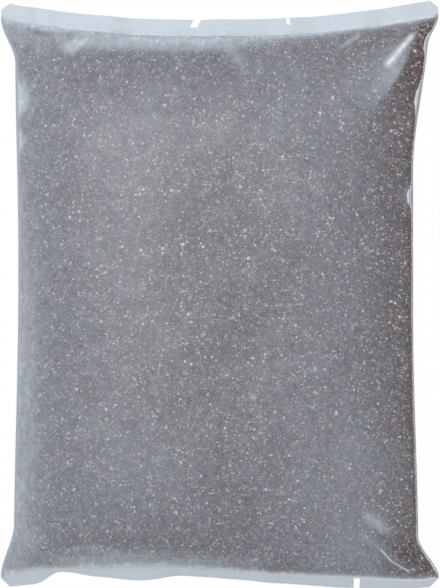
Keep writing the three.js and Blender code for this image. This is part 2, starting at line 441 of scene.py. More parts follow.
@dataclass
class SheetGrid:
    """Places over one sheet or both, as rows along the bag by columns across it."""

    x: np.ndarray
    y: np.ndarray
    top: np.ndarray
    under: np.ndarray
    from_weld: np.ndarray
    from_fold: np.ndarray
    band: np.ndarray

    def points(self, level: Level) -> np.ndarray:
        """Places of one sheet as an array of rows, columns and three coordinates."""
        height = self.top if level is Level.TOP else self.under
        return np.stack([self.x, self.y, height], axis=-1)


def grid_normals(points: np.ndarray, level: Level) -> np.ndarray:
    """Outward directions of a sheet at its grid places.

    Args:
        points: Places in rows and columns.
        level: Which sheet they belong to.

    Returns:
        One direction for each place.
    """
    east = np.gradient(points, axis=1)
    north = np.gradient(points, axis=0)
    out = np.cross(east, north) * level.value
    return out / np.maximum(np.linalg.norm(out, axis=-1, keepdims=True), 1e-12)


@dataclass
class FilmSurface:
    """The bag's outer surface with its fine gathers, creases and slack film."""

    shape: BagShape
    columns: int = 160
    body_rows: int = 200
    band_rows: int = 4
    crowding: float = 0.65
    fine_gather: float = 0.00045
    fine_spacing: float = 0.0105
    fine_reach: float = 0.011
    side_pucker: float = 0.0004
    side_spacing: float = 0.013
    lumps: float = 0.00022
    lump_step: float = 0.009
    # Creases with a fifth value above 0 carry a painted highlight as well as their real rise and haze.
    creases: tuple[Crease, ...] = (
        Crease(((0.1172, 0.1560), (0.1070, 0.1450), (0.0985, 0.1360)), 0.0014, 0.0017, 0.20, 0.35),
        Crease(((0.0970, 0.1180), (0.1070, 0.1340), (0.1145, 0.1500)), 0.0, 0.0120, 0.34, 0.16, 0.0012),
        Crease(((0.0248, 0.1434), (0.0230, 0.1296)), 0.0004, 0.0013, 0.18),
        Crease(
            ((0.1160, -0.1660), (0.1085, -0.1600), (0.0950, -0.1510), (0.0866, -0.1410)),
            0.0009, 0.0010, 0.10,
        ),
        Crease(
            ((0.1220, -0.1620), (0.1180, -0.1550), (0.1175, -0.1450), (0.1180, -0.1330)),
            0.0009, 0.0011, 0.10,
        ),
        Crease(((-0.1290, -0.1680), (-0.1250, -0.1520), (-0.1205, -0.1386)), 0.0009, 0.0011, 0.10),
        Crease(((-0.1180, 0.1610), (-0.1040, 0.1625), (-0.0930, 0.1560)), 0.0008, 0.0012, 0.12, 0.1),
        Crease(((-0.0940, 0.1545), (-0.0880, 0.1440), (-0.0790, 0.1530)), 0.0009, 0.0014, 0.15, 0.2),
        Crease(((-0.0640, 0.1555), (-0.0520, 0.1565), (-0.0430, 0.1540)), 0.0006, 0.0011, 0.10),
        Crease(((-0.0190, 0.1510), (-0.0090, 0.1560), (0.0080, 0.1535)), 0.0006, 0.0011, 0.12),
        Crease(((0.0020, 0.1480), (0.0110, 0.1400), (0.0160, 0.1300)), 0.0006, 0.0016, 0.12),
        Crease(((0.0500, 0.1590), (0.0640, 0.1570)), 0.0005, 0.0011, 0.15),
        Crease(((-0.1000, -0.1570), (-0.0800, -0.1500), (-0.0640, -0.1520)), 0.0007, 0.0018, 0.10),
        Crease(((-0.1150, -0.1010), (-0.1080, -0.0900), (-0.1060, -0.0760)), 0.0004, 0.0018, 0.08),
    )
    noise: SmoothNoise = field(default_factory=lambda: SmoothNoise(SEED))

    def crease_rise(self, x: np.ndarray, y: np.ndarray) -> np.ndarray:
        """Height of the creases at places on the top sheet."""
        return sum(crease.rise * crease.nearness(x, y) for crease in self.creases)

    def body(self, u: np.ndarray, w: np.ndarray, on_fold: np.ndarray) -> SheetGrid:
        """Places on the filled body.

        Args:
            u: Shares across, from -1 at the left to 1 at the right.
            w: Shares along, from 0 at the foot weld to 1 at the head weld.
            on_fold: True where the place lies on the fold itself, outside the fin.

        Returns:
            The grid of places on both sheets.
        """
        shape = self.shape
        y = shape.foot_weld(u) + (shape.head_weld(u) - shape.foot_weld(u)) * w
        x = np.where(on_fold, shape.across(u, w, 0.0), shape.across(u, w, shape.fold_fin))
        from_weld = np.minimum(y - shape.foot_weld(u), shape.head_weld(u) - y)
        left, right = (shape.across(side * np.ones_like(u), w, 0.0) for side in (-1, 1))
        from_fold = np.minimum(x - left, right - x)
        full = shape.fullness(u, w)
        middle = shape.middle_height(x, w, from_weld)
        beside_weld = np.exp(-from_weld / self.fine_reach)
        beside_fold = np.exp(-from_fold / self.fine_reach)
        fine = self.noise.at(x, y * 0.22, self.fine_spacing / 1.9) * beside_weld
        fine = self.fine_gather * (fine + 0.4 * np.sin(2 * np.pi * x / self.fine_spacing) * beside_weld)
        pucker = self.noise.at(y + 0.3, x * 0.25, self.side_spacing / 2) * beside_fold
        middle = middle + 0.5 * fine + self.side_pucker * pucker
        swell = shape.swell_height * np.sin(2 * np.pi * x / shape.swell_length + 0.6)
        swell = swell * np.sin(2 * np.pi * y / shape.swell_length + 1.1)
        lumps = self.lumps * self.noise.at(x + 1.0, y + 1.0, self.lump_step)
        lumps = lumps + 0.5 * self.lumps * self.noise.at(x + 2.0, y + 2.0, self.lump_step / 2.3)
        above = full * (shape.body_height - shape.fold_height + swell)
        detail = shape.ear_fold_rise(x, y) + self.crease_rise(x, y) + fine + lumps
        above = above + detail * np.minimum(1, 3 * full)
        below = middle * np.minimum(shape.under_fullness * full, 1)
        above = np.where(on_fold, 0.0, above)
        below = np.where(on_fold, 0.0, below)
        return SheetGrid(
            x, y, middle + np.maximum(shape.film_wall, above), middle - np.maximum(shape.film_wall, below),
            from_weld, from_fold, np.zeros_like(x),
        )

    def band(self, u: np.ndarray, end: int, share: float, on_fold: np.ndarray) -> SheetGrid:
        """Places on a welded band, at a share of the way from its weld to its cut edge.

        Args:
            u: Shares across, from -1 at the left to 1 at the right.
            end: 1 for the head and -1 for the foot.
            share: Share of the way from the weld.
            on_fold: True where the place lies on the fold itself.

        Returns:
            One row of places on both sheets.
        """
        shape = self.shape
        weld = self.body(u, np.full_like(u, 1.0 if end > 0 else 0.0), on_fold)
        depth = shape.band_width(u, end)
        corner = np.maximum(0.0, shape.band_corner - (shape.half_flat - np.abs(weld.x)))
        droop = shape.head_droop if end > 0 else shape.foot_droop
        middle = (weld.top + weld.under) / 2 - droop * share
        y = weld.y + end * (depth - corner) * share
        return SheetGrid(
            weld.x, y, middle + shape.film_wall, middle - shape.film_wall,
            np.zeros_like(u), weld.from_fold, np.full_like(u, share),
        )

    def outer(self) -> SheetGrid:
        """The whole outer surface: the body, the fins along its folds and the bands.

        Returns:
            The grid of places on both sheets.
        """
        across = np.concatenate([[-1.0], crowded(self.columns, self.crowding), [1.0]])
        on_fold = np.zeros(len(across), dtype=bool)
        on_fold[[0, -1]] = True
        steps = [(k + 1) / self.band_rows for k in range(self.band_rows)]
        rows = [self.band(across, -1, share, on_fold) for share in reversed(steps)]
        for t in crowded(self.body_rows, self.crowding):
            rows.append(self.body(across, np.full_like(across, (t + 1) / 2), on_fold))
        rows += [self.band(across, 1, share, on_fold) for share in steps]
        names = ("x", "y", "top", "under", "from_weld", "from_fold", "band")
        return SheetGrid(*(np.stack([getattr(row, name) for row in rows]) for name in names))


def deselect_all() -> None:
    """Leaves nothing selected, the loaded solids included."""
    bpy.ops.object.select_all(action="DESELECT")


def vertex_places(mesh: bpy.types.Mesh) -> np.ndarray:
    """Places of a mesh's vertices, one row each.

    Args:
        mesh: Mesh to read.

    Returns:
        The places.
    """
    places = np.empty(len(mesh.vertices) * 3)
    mesh.vertices.foreach_get("co", places)
    return places.reshape(-1, 3)


@dataclass
class LoftedSlab:
    """A closed piece over two sheets of places that share one grid."""

    name: str
    top: np.ndarray
    under: np.ndarray
    values: dict[str, tuple[np.ndarray, np.ndarray]] = field(default_factory=dict)
    margin: float = 0.01

    def build(self) -> bpy.types.Object:
        """Adds a grid, extrudes it to a slab and draws the slab onto the two sheets.

        Returns:
            The new piece.
        """
        rows, columns = self.top.shape[:2]
        deselect_all()
        bpy.ops.mesh.primitive_grid_add(x_subdivisions=columns - 1, y_subdivisions=rows - 1, size=2.0)
        piece = bpy.context.object
        piece.name = piece.data.name = self.name
        while piece.data.uv_layers:
            piece.data.uv_layers.remove(piece.data.uv_layers[0])
        bpy.ops.object.mode_set(mode="EDIT")
        bpy.ops.mesh.select_all(action="SELECT")
        bpy.ops.mesh.extrude_region_move(TRANSFORM_OT_translate={"value": (0, 0, 1)})
        bpy.ops.mesh.select_all(action="SELECT")
        bpy.ops.mesh.normals_make_consistent(inside=False)
        bpy.ops.object.mode_set(mode="OBJECT")
        places = vertex_places(piece.data)
        column = np.rint((places[:, 0] + 1) / 2 * (columns - 1)).astype(int)
        row = np.rint((places[:, 1] + 1) / 2 * (rows - 1)).astype(int)
        on_top = places[:, 2] > 0.5
        lofted = np.where(on_top[:, None], self.top[row, column], self.under[row, column])
        piece.data.vertices.foreach_set("co", lofted.ravel())
        for key, (above, below) in self.values.items():
            attribute = piece.data.attributes.new(key, "FLOAT", "POINT")
            attribute.data.foreach_set("value", np.where(on_top, above[row, column], below[row, column]))
        self._lay_out(piece.data, column / (columns - 1), row / (rows - 1), on_top)
        piece.data.update()
        return piece

    def _lay_out(
        self, mesh: bpy.types.Mesh, across: np.ndarray, along: np.ndarray, on_top: np.ndarray,
    ) -> None:
        """Gives the two sheets a half each of the piece's flat map.

        Args:
            mesh: Mesh to lay out.
            across: Share across of each vertex.
            along: Share along of each vertex.
            on_top: True for the vertices of the top sheet.
        """
        corner_vertex = np.empty(len(mesh.loops), dtype=np.int32)
        mesh.loops.foreach_get("vertex_index", corner_vertex)
        starts = np.empty(len(mesh.polygons), dtype=np.int32)
        totals = np.empty(len(mesh.polygons), dtype=np.int32)
        mesh.polygons.foreach_get("loop_start", starts)
        mesh.polygons.foreach_get("loop_total", totals)
        face = np.repeat(np.arange(len(starts)), totals)
        face_on_top = np.zeros(len(starts), dtype=bool)
        np.logical_or.at(face_on_top, face, on_top[corner_vertex])
        side = np.where(face_on_top[face], 0.0, 0.5)
        east = side + self.margin + (0.5 - 2 * self.margin) * across[corner_vertex]
        north = self.margin + (1 - 2 * self.margin) * along[corner_vertex]
        places = np.stack([east, north], axis=-1)
        layer = mesh.uv_layers.new(name="OFBake")
        layer.data.foreach_set("uv", places.ravel())


@dataclass(frozen=True)
class Notch:
    """A notch cut into a band: its middle, width and depth, and how far its bottom lies aside."""

    x: float
    width: float
    depth: float
    slant: float
    end: int

    def cutter(self, shape: BagShape) -> bpy.types.Object:
        """Straight-sided block that cuts the notch, as a new object.

        Args:
            shape: Form of the bag that the notch is cut in.

        Returns:
            The block.
        """
        u = np.full(1, self.x / shape.half_flat)
        edge = float((shape.head_edge(u) if self.end > 0 else shape.foot_edge(u))[0])
        deselect_all()
        bpy.ops.mesh.primitive_cube_add(size=2.0)
        block = bpy.context.object
        places = vertex_places(block.data)
        outward = places[:, 1] * self.end
        x = self.x + places[:, 0] * self.width / 2 - self.slant * outward
        y = edge + self.end * outward * self.depth
        z = shape.body_height * (0.5 + places[:, 2])
        block.data.vertices.foreach_set("co", np.stack([x, y, z], axis=-1).ravel())
        block.data.update()
        return block


@dataclass(frozen=True)
class Milkiness:
    """How much of what lies behind it the film hides, and where a highlight is painted on it."""

    noise: SmoothNoise
    creases: tuple[Crease, ...]
    # Haze across the bag, partly the film's milkiness and partly a painted sheen of the light from the left:
    # paler at the left, clearer at the right.
    across: tuple[tuple[float, float], ...] = (
        (-0.124, 0.43), (-0.108, 0.34), (-0.090, 0.285), (0.000, 0.245), (0.050, 0.280), (0.078, 0.260),
        (0.096, 0.20), (0.116, 0.15),
    )
    under: float = 0.26
    head_band: float = 0.63
    foot_band: float = 0.71
    fin: float = 0.88
    beside_head: tuple[tuple[float, float], ...] = (
        (-0.130, 0.20), (-0.100, 0.26), (0.030, 0.26), (0.060, 0.14), (0.130, 0.06),
    )
    beside_foot: tuple[tuple[float, float], ...] = (
        (-0.130, 0.20), (0.005, 0.24), (0.030, 0.12), (0.130, 0.05),
    )
    weld_reach: float = 0.0050
    at_weld: float = 0.42
    at_weld_reach: float = 0.0024
    beside_fold: float = 0.66
    fold_reach: float = 0.0021
    mottle: float = 0.03
    loose_at_weld: tuple[tuple[float, float], ...] = ((-0.13, 1.0), (0.03, 1.0), (0.07, 0.45))
    loose_weld_reach: float = 0.013
    loose_at_fold: tuple[tuple[float, float], ...] = ((-0.10, 0.9), (0.10, 0.2))
    loose_fold_reach: float = 0.019
    fold_taper: tuple[tuple[float, float], ...] = ((-0.10, 1.0), (0.10, 0.55))
    # Strength of the shade painted beside the folds, weak at the left and full at the right.
    shade_at_fold: tuple[tuple[float, float], ...] = ((-0.10, 0.2), (0.10, 1.0))
    cloud_steps: tuple[float, float] = (0.015, 0.0062)
    ragged_step: float = 0.008
    sealed_at_weld: float = 0.35
    limits: tuple[float, float] = (0.05, 0.88)
    # Patches with a seventh value above 0 carry a painted highlight as well as their haze.
    patches: tuple[Patch, ...] = (
        Patch(0.1145, 0.1310, 0.0300, 0.0080, 62, -0.05),
        Patch(0.1243, 0.1600, 0.0120, 0.0060, 60, -0.06),
        Patch(0.0788, 0.1518, 0.0070, 0.0015, 39, 0.20, 0.20),
        Patch(0.0930, -0.1120, 0.0460, 0.0280, 90, 0.05),
        Patch(0.1150, -0.1560, 0.0200, 0.0060, -39, -0.08),
        Patch(0.0780, -0.1600, 0.0300, 0.0110, -15, 0.08),
        Patch(0.0930, -0.1352, 0.0105, 0.0034, -35, 0.28, 0.22),
        # The next three patches are painted light: the middle is made clearer against the soft box's pool of
        # light, and a painted sheen lies lower left and along the top.
        Patch(0.0050, 0.0100, 0.0800, 0.0500, 90, -0.045),
        Patch(-0.0500, -0.1080, 0.0450, 0.0300, 0, 0.045),
        Patch(0.0000, 0.1120, 0.0900, 0.0260, 0, 0.035),
        Patch(0.0700, -0.1100, 0.0400, 0.0300, 90, 0.025),
        Patch(0.0800, -0.1440, 0.0180, 0.0100, -30, 0.06),
        Patch(0.0860, 0.1300, 0.0200, 0.0140, 55, 0.05),
        Patch(-0.0420, -0.1590, 0.0560, 0.0060, 0, 0.24),
        Patch(-0.1180, -0.1540, 0.0180, 0.0100, 70, 0.04),
        Patch(-0.1195, -0.0420, 0.1050, 0.0115, 90, 0.22),
        Patch(-0.1190, 0.1170, 0.0105, 0.0060, 90, 0.50),
        Patch(-0.1200, 0.0920, 0.0060, 0.0045, 90, 0.45),
        Patch(-0.1200, -0.1200, 0.0240, 0.0045, 90, 0.08),
        Patch(0.1150, 0.0590, 0.0060, 0.0050, 90, 0.52),
        Patch(0.1262, 0.1510, 0.0050, 0.0034, 70, 0.48),
        Patch(0.1205, 0.1170, 0.0085, 0.0034, 90, 0.48),
        Patch(-0.1037, 0.1596, 0.0100, 0.0032, -25, 0.24),
        Patch(-0.0869, 0.1488, 0.0075, 0.0038, 30, 0.28, 0.10),
        Patch(-0.0360, 0.1515, 0.0640, 0.0064, 0, 0.46),
        Patch(0.0092, 0.1420, 0.0120, 0.0045, -50, 0.13),
        Patch(0.0500, 0.1560, 0.0400, 0.0025, 8, 0.12),
        Patch(-0.0700, -0.1560, 0.0300, 0.0060, 5, 0.08),
    )

    def slack(self, grid: SheetGrid, level: Level) -> np.ndarray:
        """How loosely the film lies, from 0 where it is taut to 1 beside the welds and at the left.

        Args:
            grid: Places on the sheets.
            level: Which sheet it is.

        Returns:
            The looseness at each place.
        """
        if level is Level.UNDER:
            return np.zeros_like(grid.x)
        weld = fading(grid.from_weld, self.loose_weld_reach) * profile(self.loose_at_weld, grid.x)
        fold = fading(grid.from_fold, self.loose_fold_reach) * profile(self.loose_at_fold, grid.x)
        return np.clip(np.maximum(weld, fold), 0, 1)

    def coverage(self, grid: SheetGrid, level: Level) -> np.ndarray:
        """Share of what lies behind a sheet that it hides, from place to place.

        Args:
            grid: Places on the sheets.
            level: Which sheet it is.

        Returns:
            The shares.
        """
        on_top = level is Level.TOP
        cover = profile(self.across, grid.x) if on_top else np.full_like(grid.x, self.under)
        ragged = 0.55 + 0.9 * np.abs(self.noise.at(grid.x + 7, grid.y + 7, self.ragged_step))
        beside = np.where(grid.y > 0, profile(self.beside_head, grid.x), profile(self.beside_foot, grid.x))
        cover = cover + beside * fading(grid.from_weld, self.weld_reach * ragged)
        cover = cover + self.at_weld * fading(grid.from_weld, self.at_weld_reach)
        reach = self.fold_reach * profile(self.fold_taper, grid.x) * (0.6 + 0.4 * ragged)
        cover = cover + self.beside_fold * fading(grid.from_fold, reach)
        cloud = self.noise.at(grid.x + 3, grid.y + 3, self.cloud_steps[0])
        cloud = cloud + 0.8 * self.noise.at(grid.x + 4, grid.y + 4, self.cloud_steps[1])
        cover = cover + self.mottle * 0.5 * cloud
        if on_top:
            for marks in (self.patches, self.creases):
                cover = cover + sum(mark.haze * mark.nearness(grid.x, grid.y) for mark in marks)
        welded = np.where(grid.y > 0, self.head_band, self.foot_band)
        cover = np.where(grid.band > 0, welded, np.clip(cover, *self.limits))
        return np.where((grid.from_fold <= 0) & (grid.band == 0), self.fin, cover)

    def sealed(self, grid: SheetGrid) -> np.ndarray:
        """Where the two sheets lie on each other, from 0 in the body to 1 in bands and at folds.

        Args:
            grid: Places on the sheets.

        Returns:
            The share at each place.
        """
        beside_fold = fading(grid.from_fold, self.fold_reach)
        beside_weld = self.sealed_at_weld * fading(grid.from_weld, 0.4 * self.at_weld_reach)
        return np.where(grid.band > 0, 1.0, np.maximum(beside_fold, beside_weld))

    def shaded(self, grid: SheetGrid) -> np.ndarray:
        """How strongly shade is painted on the film beside the folds, more so at the right."""
        beside_fold = fading(grid.from_fold, 1.5 * self.fold_reach)
        return np.where(grid.band > 0, 0.0, beside_fold * profile(self.shade_at_fold, grid.x))

    def gleam(self, grid: SheetGrid, level: Level) -> np.ndarray:
        """Strength of the highlight painted on the film, from place to place.

        Args:
            grid: Places on the sheets.
            level: Which sheet it is.

        Returns:
            The painted highlight's strength at each place.
        """
        if level is Level.UNDER:
            return np.zeros_like(grid.x)
        marks = [*self.patches, *self.creases]
        return np.clip(sum(mark.gleam * mark.nearness(grid.x, grid.y) for mark in marks), 0, 1)


@dataclass
class FilmBag:
    """The film tube: one closed skin with its bands, fins and notches, and its inner wall."""

    surface: FilmSurface
    shift: np.ndarray = field(default_factory=lambda: np.zeros(3))
    notches: tuple[Notch, ...] = (
        Notch(-0.0135, 0.0044, 0.0046, -0.0024, 1),
        Notch(0.0410, 0.0020, 0.0042, 0.0004, 1),
        Notch(0.0828, 0.0036, 0.0066, 0.0, -1),
    )
    inner_step: int = 2
    smooth_angle: float = 50.0
    bare_below: float = 0.02

    def build(self) -> bpy.types.Object:
        """Builds the film and keeps the places of its outer surface for the gravel.

        Returns:
            The film.
        """
        grid = self.surface.outer()
        top, under = grid.points(Level.TOP), grid.points(Level.UNDER)
        low, high = top.min(axis=(0, 1)), top.max(axis=(0, 1))
        self.shift = np.array([-(low[0] + high[0]) / 2, -(low[1] + high[1]) / 2, 0.0])
        self.grid = grid
        self.normals = {level: grid_normals(grid.points(level), level) for level in Level}
        milk = Milkiness(self.surface.noise, self.surface.creases)
        veil = {level: 1 - np.sqrt(1 - milk.coverage(grid, level)) for level in Level}
        outer = LoftedSlab("film", top + self.shift, under + self.shift, {
            "veil": tuple(veil[level] for level in Level),
            "sealed": (milk.sealed(grid),) * 2,
            "shaded": (milk.shaded(grid),) * 2,
            # Highlights painted on the top sheet by its creases and patches.
            "gleam": tuple(milk.gleam(grid, level) for level in Level),
            "slack": tuple(milk.slack(grid, level) for level in Level),
            "top": (np.ones_like(grid.x), np.zeros_like(grid.x)),
        }).build()
        self._cut_notches(outer)
        self._mend_cut_edges(outer.data, milk)
        inner = self._inner_wall(veil)
        deselect_all()
        inner.select_set(True)
        outer.select_set(True)
        bpy.context.view_layer.objects.active = outer
        bpy.ops.object.join()
        bpy.ops.object.shade_smooth_by_angle(angle=math.radians(self.smooth_angle))
        return outer

    def _mend_cut_edges(self, mesh: bpy.types.Mesh, milk: Milkiness) -> None:
        """Gives the bands' values to the new edges along the notches.

        Args:
            mesh: The film's mesh.
            milk: The film's milkiness.
        """
        values = np.empty(len(mesh.vertices))
        mesh.attributes["veil"].data.foreach_get("value", values)
        bare = values < self.bare_below
        at_head = vertex_places(mesh)[:, 1] > 0
        welded = 1 - np.sqrt(1 - np.where(at_head, milk.head_band, milk.foot_band))
        mesh.attributes["veil"].data.foreach_set("value", np.where(bare, welded, values))
        mesh.attributes["sealed"].data.foreach_get("value", values)
        mesh.attributes["sealed"].data.foreach_set("value", np.where(bare, 1.0, values))

    def _cut_notches(self, outer: bpy.types.Object) -> None:
        """Cuts the notches through the bands.

        Args:
            outer: The film's outer skin.
        """
        for notch in self.notches:
            block = notch.cutter(self.surface.shape)
            places = vertex_places(block.data) + self.shift
            block.data.vertices.foreach_set("co", places.ravel())
            cut = outer.modifiers.new("notch", "BOOLEAN")
            cut.operation = "DIFFERENCE"
            cut.solver = "EXACT"
            cut.object = block
            deselect_all()
            bpy.context.view_layer.objects.active = outer
            outer.select_set(True)
            bpy.ops.object.modifier_apply(modifier=cut.name)
            bpy.data.objects.remove(block)

    def _inner_wall(self, veil: dict[Level, np.ndarray]) -> bpy.types.Object:
        """Lofts the inside of the wall, one wall's thickness in, with its faces turned inwards.

        Args:
            veil: Veil of each sheet.

        Returns:
            The new piece.
        """
        wall = self.surface.shape.film_wall
        rows = slice(self.surface.band_rows + 1, -(self.surface.band_rows + 1), self.inner_step)
        columns = slice(2, -2, self.inner_step)
        sheets = [
            (self.grid.points(level) - wall * self.normals[level])[rows, columns] + self.shift
            for level in Level
        ]
        inner_veil = tuple(veil[level][rows, columns] for level in Level)
        flat = np.zeros_like(inner_veil[0])
        values = {key: (flat, flat) for key in ("sealed", "shaded", "gleam", "slack", "top")}
        values = {"veil": inner_veil, **values}
        inner = LoftedSlab("film_inside", *sheets, values).build()
        bpy.ops.object.mode_set(mode="EDIT")
        bpy.ops.mesh.select_all(action="SELECT")
        bpy.ops.mesh.flip_normals()
        bpy.ops.object.mode_set(mode="OBJECT")
        return inner


@dataclass(frozen=True)
class GrainKind:
    """One kind of stone in the mix."""

    name: str
    share: float
    dark: tuple[float, float, float]
    light: tuple[float, float, float]
    roughness: float
    flatness: float


class Stone(Enum):
    """The kinds of stone in the gravel."""

    BLACK_SLATE = GrainKind("black_slate", 0.15, (0.024, 0.012, 0.010), (0.112, 0.062, 0.054), 0.62, 0.55)
    PLUM_SLATE = GrainKind("plum_slate", 0.18, (0.072, 0.036, 0.035), (0.285, 0.178, 0.178), 0.66, 0.6)
    BLUE_STONE = GrainKind("blue_stone", 0.10, (0.070, 0.055, 0.060), (0.345, 0.318, 0.345), 0.6, 0.75)
    BROWN_STONE = GrainKind("brown_stone", 0.24, (0.105, 0.050, 0.034), (0.395, 0.258, 0.195), 0.66, 0.75)
    RUST_STONE = GrainKind("rust_stone", 0.12, (0.170, 0.083, 0.056), (0.430, 0.262, 0.188), 0.62, 0.75)
    TAN_STONE = GrainKind("tan_stone", 0.16, (0.240, 0.168, 0.122), (0.565, 0.458, 0.362), 0.58, 0.8)
    QUARTZ = GrainKind("quartz", 0.05, (0.430, 0.385, 0.350), (0.820, 0.750, 0.700), 0.4, 0.8)


@dataclass(frozen=True)
class GrainForm:
    """One broken-stone form that grains are copied from."""

    places: np.ndarray
    faces: np.ndarray


class GrainForms:
    """A few angular forms, each modelled once from a coarse solid."""

    offset: float = 0.34

    def __init__(self, count: int) -> None:
        """Models the forms.

        Args:
            count: Number of forms.
        """
        self.forms = [self._form(k) for k in range(count)]

    def _form(self, k: int) -> GrainForm:
        """Breaks the k-th coarse solid into an angular, closed form of unit half size.

        Args:
            k: Number of the form.

        Returns:
            The form.
        """
        deselect_all()
        if k % 6 == 0:
            bpy.ops.mesh.primitive_cube_add(size=1.5)
        else:
            bpy.ops.mesh.primitive_uv_sphere_add(segments=5 if k % 4 == 1 else 4, ring_count=2, radius=1.0)
        stone = bpy.context.object
        bpy.ops.object.mode_set(mode="EDIT")
        bpy.ops.mesh.select_all(action="SELECT")
        bpy.ops.transform.vertex_random(offset=self.offset, seed=11 + k)
        bpy.ops.mesh.select_all(action="SELECT")
        bpy.ops.mesh.convex_hull()
        bpy.ops.mesh.select_all(action="SELECT")
        bpy.ops.mesh.quads_convert_to_tris()
        bpy.ops.mesh.normals_make_consistent(inside=False)
        bpy.ops.object.mode_set(mode="OBJECT")
        places = vertex_places(stone.data)
        corners = np.empty(len(stone.data.loops), dtype=np.int32)
        stone.data.loops.foreach_get("vertex_index", corners)
        bpy.data.objects.remove(stone)
        places = places - places.mean(axis=0)
        return GrainForm(places / np.abs(places).max(), corners.reshape(-1, 3))


@dataclass(frozen=True)
class Pocket:
    """A place where the film stands off the gravel: its middle and its reach across and along."""

    x: float
    y: float
    across: float
    along: float
    depth: float


